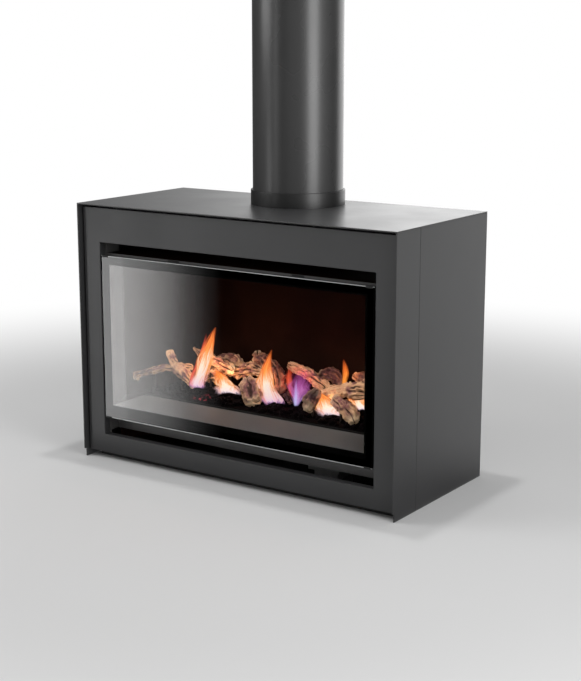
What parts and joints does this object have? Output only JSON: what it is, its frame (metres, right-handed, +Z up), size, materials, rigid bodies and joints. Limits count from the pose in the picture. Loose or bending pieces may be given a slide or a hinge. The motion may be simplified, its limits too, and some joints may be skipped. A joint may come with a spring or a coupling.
{
  "type": "freestanding firebox",
  "caption": "Freestanding gas log firebox: charcoal steel casing with a wide dark glass window, driftwood logs on embers, shadow-gap plinth and a twin-skin flue rising from the top.",
  "frame": {"origin": "middle of the casing's footprint, on the hearth that the plinth stands on", "axes": "+X to the right of a person who faces the window, +Y to the rear, so the window faces -Y, +Z up along the flue"},
  "size_m": [0.835, 0.385, 1.195],
  "materials": {
    "casing_paint": "satin charcoal powder coat",
    "flue_paint": "satin dark stove paint on rolled sheet",
    "base_paint": "matt black powder coat",
    "plated_steel": "zinc plated sheet and screws",
    "front_plate_steel": "dark grey stove paint",
    "window_frame_steel": "matt black stove paint",
    "ceramic_glass": "dark glass ceramic with a black printed border",
    "rope_seal": "woven glass fibre rope",
    "firebox_steel": "matt black stove paint, sooty",
    "ledge_steel": "warm grey stove paint",
    "flue_steel": "bare stainless sheet",
    "ember_ceramic": "rough black ceramic fibre",
    "driftwood": "painted ceramic fibre with bark relief",
    "charred_wood": "dark painted ceramic fibre with bark relief",
    "cast_alloy": "bare die casting",
    "gas_brass": "turned brass",
    "lever_plastic": "yellow dipped steel",
    "box_plastic": "moulded black plastic",
    "switch_plastic": "moulded black plastic",
    "rotor_alloy": "bare thin sheet"
  },
  "bodies": {
    "casing": {"top_panel": "casing_paint", "side_front_left": "casing_paint", "side_front_right": "casing_paint", "side_panel_left": "casing_paint", "side_panel_right": "casing_paint", "back_panel": "casing_paint", "flue_casing": "flue_paint", "flue_collar": "flue_paint", "base_plinth": "base_paint", "base_pan": "base_paint", "panel_screws": "plated_steel", "window_seats": "plated_steel", "window_springs": "plated_steel", "heat_shield": "plated_steel", "fan_housing": "plated_steel", "pilot_assembly": "plated_steel", "burner_tube": "plated_steel", "log_pins": "plated_steel", "front_plate": "front_plate_steel", "firebox_back": "firebox_steel", "firebox_side_left": "firebox_steel", "firebox_side_right": "firebox_steel", "firebox_ceiling": "firebox_steel", "firebox_floor": "firebox_steel", "burner_tray": "firebox_steel", "flue_box": "firebox_steel", "ledge_front": "ledge_steel", "ledge_left": "ledge_steel", "ledge_right": "ledge_steel", "inner_flue": "flue_steel", "ember_bed": "ember_ceramic", "log_twig": "driftwood", "log_bend": "driftwood", "log_fork": "driftwood", "log_centre": "driftwood", "log_stub": "driftwood", "log_upright": "driftwood", "log_rear": "driftwood", "log_top": "driftwood", "log_knot": "driftwood", "log_front": "driftwood", "log_end": "driftwood", "log_charred": "charred_wood", "log_cone": "charred_wood", "gas_valve": "cast_alloy", "gas_pipe": "gas_brass", "gas_tap": "gas_brass", "gas_inlet": "gas_brass", "control_box": "box_plastic", "power_inlet": "box_plastic"},
    "fascia": {"fascia": "casing_paint", "fascia_hooks": "plated_steel"},
    "window": {"window_glass": "ceramic_glass", "window_frame": "window_frame_steel", "window_gasket": "rope_seal", "glass_clips": "plated_steel", "window_pins": "plated_steel"},
    "tap_lever": {"tap_lever": "lever_plastic"},
    "switch": {"rocker_switch": "switch_plastic"},
    "fan": {"fan_rotor": "rotor_alloy"}
  },
  "joints": [
    {"name": "fascia_lift_off", "type": "slide", "parent": "casing", "child": "fascia", "axis": [0, -1, 0], "range_m": [0, 0.06]},
    {"name": "window_tilt", "type": "hinge", "parent": "casing", "child": "window", "pos_m": [0, -0.1665, 0.1065], "axis": [1, 0, 0], "range_deg": [0, 25]},
    {"name": "tap_turn", "type": "hinge", "parent": "casing", "child": "tap_lever", "pos_m": [0.2, 0.135, 0.08], "axis": [0, 0, 1], "range_deg": [0, 90]},
    {"name": "switch_rock", "type": "hinge", "parent": "casing", "child": "switch", "pos_m": [-0.25, 0.1855, 0.06], "axis": [1, 0, 0], "range_deg": [0, 14]},
    {"name": "fan_spin", "type": "hinge", "parent": "casing", "child": "fan", "pos_m": [0, 0.125, 0.068], "axis": [1, 0, 0], "continuous": true}
  ]
}
